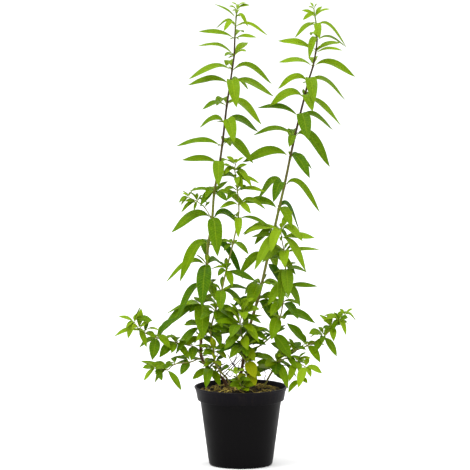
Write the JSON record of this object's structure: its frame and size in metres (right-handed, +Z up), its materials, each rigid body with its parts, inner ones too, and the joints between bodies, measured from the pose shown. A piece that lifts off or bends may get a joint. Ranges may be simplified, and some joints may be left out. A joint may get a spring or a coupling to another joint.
{
  "type": "potted lemon verbena",
  "caption": "Lemon verbena plant with tall leafy stems and low side sprays, standing in the soil of a round tapered nursery pot.",
  "frame": {"origin": "middle of the pot's underside, on the surface that it stands on", "axes": "+Z up along the pot's axis; the picture looks along +Y, with +X to its right"},
  "size_m": [0.365, 0.14, 0.7011],
  "materials": {
    "pot_plastic": "moulded black polypropylene, faintly satin",
    "potting_soil": "moist peat and coir crumbs with tan fibres",
    "stem_and_leaf": "fresh green leaves with sunk veins on brown to green stems"
  },
  "bodies": {
    "root": {"pot": "pot_plastic", "potting_soil": "potting_soil", "left_tall_stem": "stem_and_leaf", "middle_stem": "stem_and_leaf", "right_tall_stem": "stem_and_leaf", "right_low_shoot": "stem_and_leaf", "centre_short_shoot": "stem_and_leaf", "front_short_shoot": "stem_and_leaf"}
  },
  "joints": []
}
